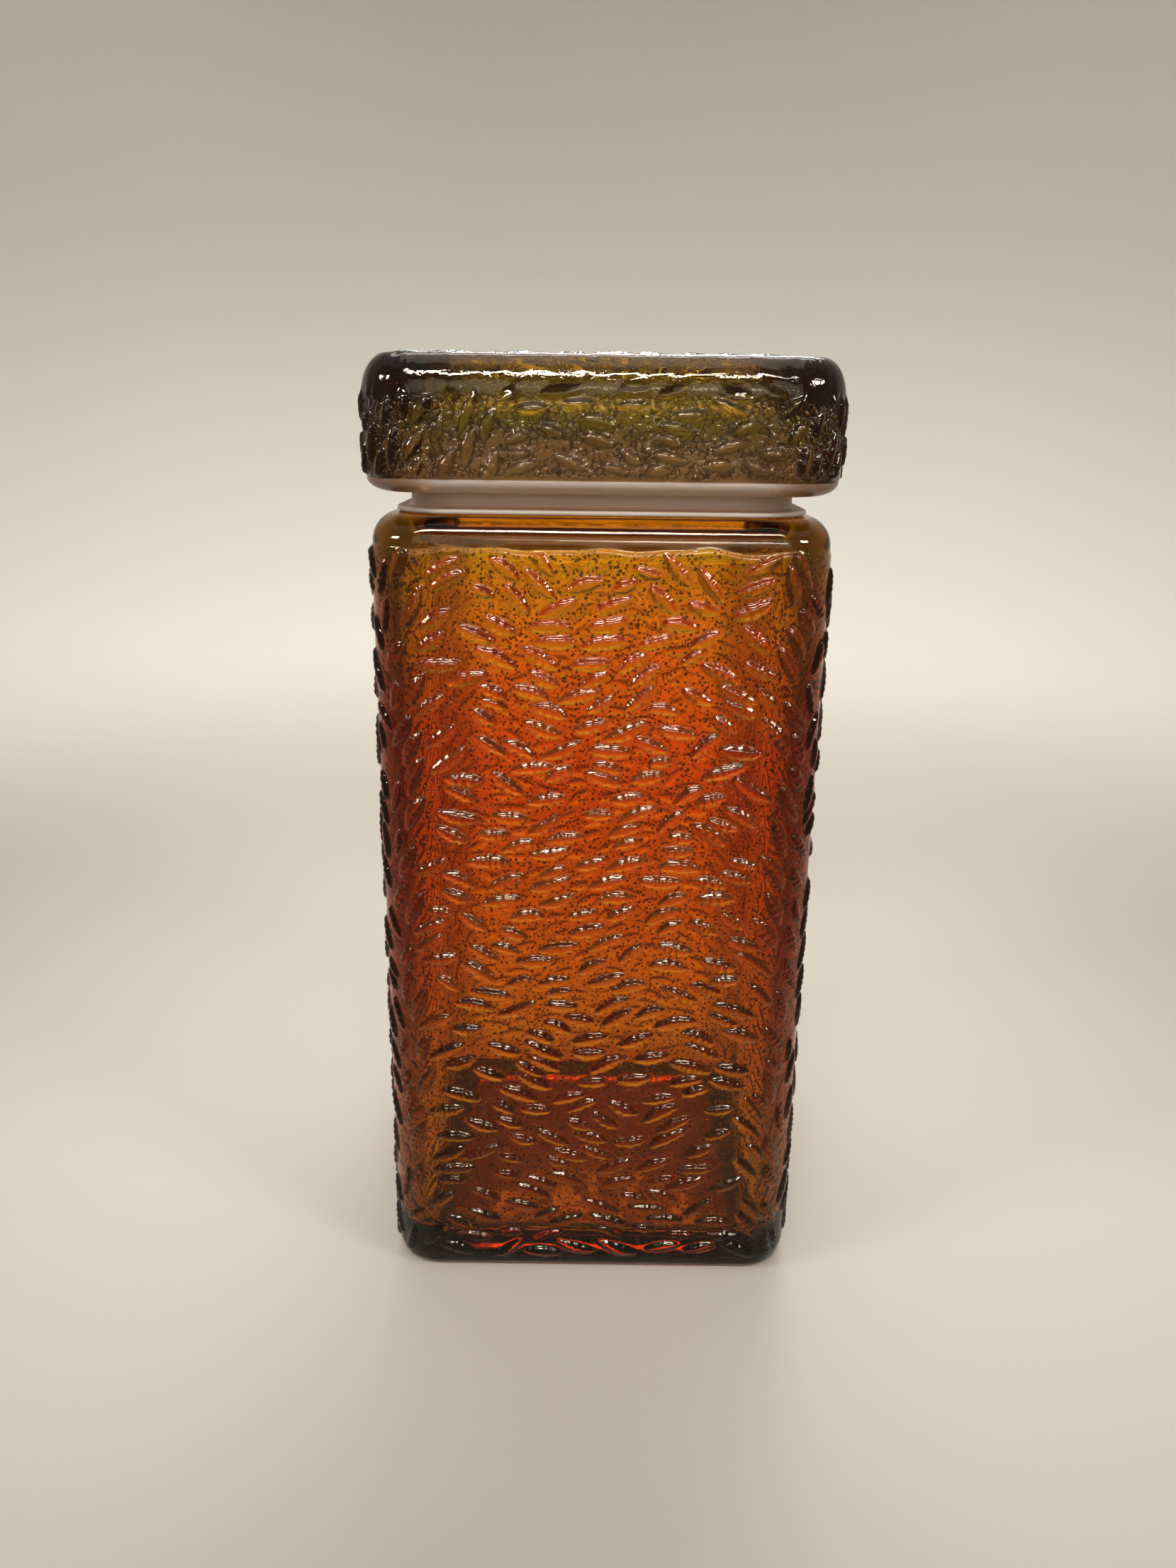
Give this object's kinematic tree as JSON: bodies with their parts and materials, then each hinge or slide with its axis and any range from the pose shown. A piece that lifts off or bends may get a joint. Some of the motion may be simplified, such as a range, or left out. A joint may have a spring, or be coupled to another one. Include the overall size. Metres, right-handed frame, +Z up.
{
  "type": "apothecary jar",
  "caption": "Square amber glass storage jar with a lift-off glass cap lid and a soft plastic seal over the neck.",
  "frame": {"origin": "centre of the base, on the plane the jar stands on", "axes": "+Z up through the mouth and lid, +X and +Y square to the flat patterned faces; the four sides are alike"},
  "size_m": [0.1218, 0.1218, 0.2637],
  "materials": {
    "body_glass": "glossy amber pressed glass",
    "lid_glass": "glossy amber pressed glass",
    "seal_plastic": "translucent frosted polyethylene"
  },
  "bodies": {
    "body": {"jar_body": "body_glass"},
    "seal": {"neck_seal": "seal_plastic"},
    "cap": {"lid": "lid_glass"}
  },
  "joints": [
    {"name": "seal_pull", "type": "slide", "parent": "body", "child": "seal", "axis": [0, 0, 1], "range_m": [0, 0.045]},
    {"name": "lid_lift", "type": "slide", "parent": "seal", "child": "cap", "axis": [0, 0, 1], "range_m": [0, 0.06]}
  ]
}
